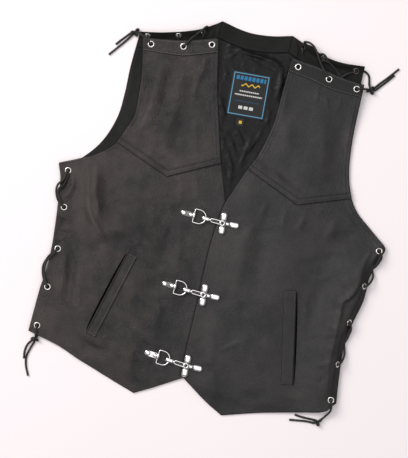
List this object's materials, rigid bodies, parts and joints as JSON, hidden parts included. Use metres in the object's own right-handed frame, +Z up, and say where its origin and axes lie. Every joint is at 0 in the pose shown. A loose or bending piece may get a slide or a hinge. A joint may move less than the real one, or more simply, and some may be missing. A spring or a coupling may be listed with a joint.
{
  "type": "leather vest",
  "caption": "Waist-length leather vest laid flat, with pointed front hems, V-shaped yokes, laced sides and shoulders, slanted welt pockets and hook-and-ring clasps.",
  "frame": {"origin": "centre of the vest's outline, on the surface it lies on", "axes": "+Z up from the surface, +Y from the hem to the collar, +X to the right as seen from above"},
  "size_m": [0.5415, 0.6292, 0.0175],
  "materials": {
    "leather": "smooth black leather with a soft sheen",
    "lining": "black satin lining",
    "label": "woven label, plain border and bars",
    "chrome": "polished chrome",
    "eyelet": "nickel-plated eyelets",
    "lace": "dark leather thong"
  },
  "bodies": {
    "root": {"back": "leather", "neck_facing": "leather", "back_band_left": "leather", "back_band_right": "leather", "front_left": "leather", "front_right": "leather", "yoke_left": "leather", "yoke_right": "leather", "front_band_left": "leather", "front_band_right": "leather", "welt_left": "leather", "welt_right": "leather", "back_lining": "lining", "label": "label", "size_tab": "label", "clasp_top_tab": "chrome", "clasp_top_ring": "chrome", "clasp_top_hook": "chrome", "clasp_middle_tab": "chrome", "clasp_middle_ring": "chrome", "clasp_middle_hook": "chrome", "clasp_bottom_tab": "chrome", "clasp_bottom_ring": "chrome", "clasp_bottom_hook": "chrome", "eyelet_side_left_1": "eyelet", "eyelet_side_left_2": "eyelet", "eyelet_side_left_3": "eyelet", "eyelet_side_left_4": "eyelet", "eyelet_side_left_5": "eyelet", "eyelet_side_right_1": "eyelet", "eyelet_side_right_2": "eyelet", "eyelet_side_right_3": "eyelet", "eyelet_side_right_4": "eyelet", "eyelet_side_right_5": "eyelet", "eyelet_shoulder_left_1": "eyelet", "eyelet_shoulder_left_2": "eyelet", "eyelet_shoulder_left_3": "eyelet", "eyelet_shoulder_right_1": "eyelet", "eyelet_shoulder_right_2": "eyelet", "eyelet_shoulder_right_3": "eyelet", "eyelet_back_left_1": "eyelet", "eyelet_back_left_2": "eyelet", "eyelet_back_left_3": "eyelet", "eyelet_back_right_1": "eyelet", "eyelet_back_right_2": "eyelet", "eyelet_back_right_3": "eyelet", "lacing_side_left": "lace", "lacing_side_right": "lace", "lacing_shoulder_left": "lace", "lacing_shoulder_right": "lace", "lace_end_side_left_1": "lace", "lace_end_side_left_2": "lace", "lace_end_side_right_1": "lace", "lace_end_side_right_2": "lace", "lace_end_shoulder_left_1": "lace", "lace_end_shoulder_left_2": "lace", "lace_end_shoulder_right_1": "lace", "lace_end_shoulder_right_2": "lace"}
  },
  "joints": []
}
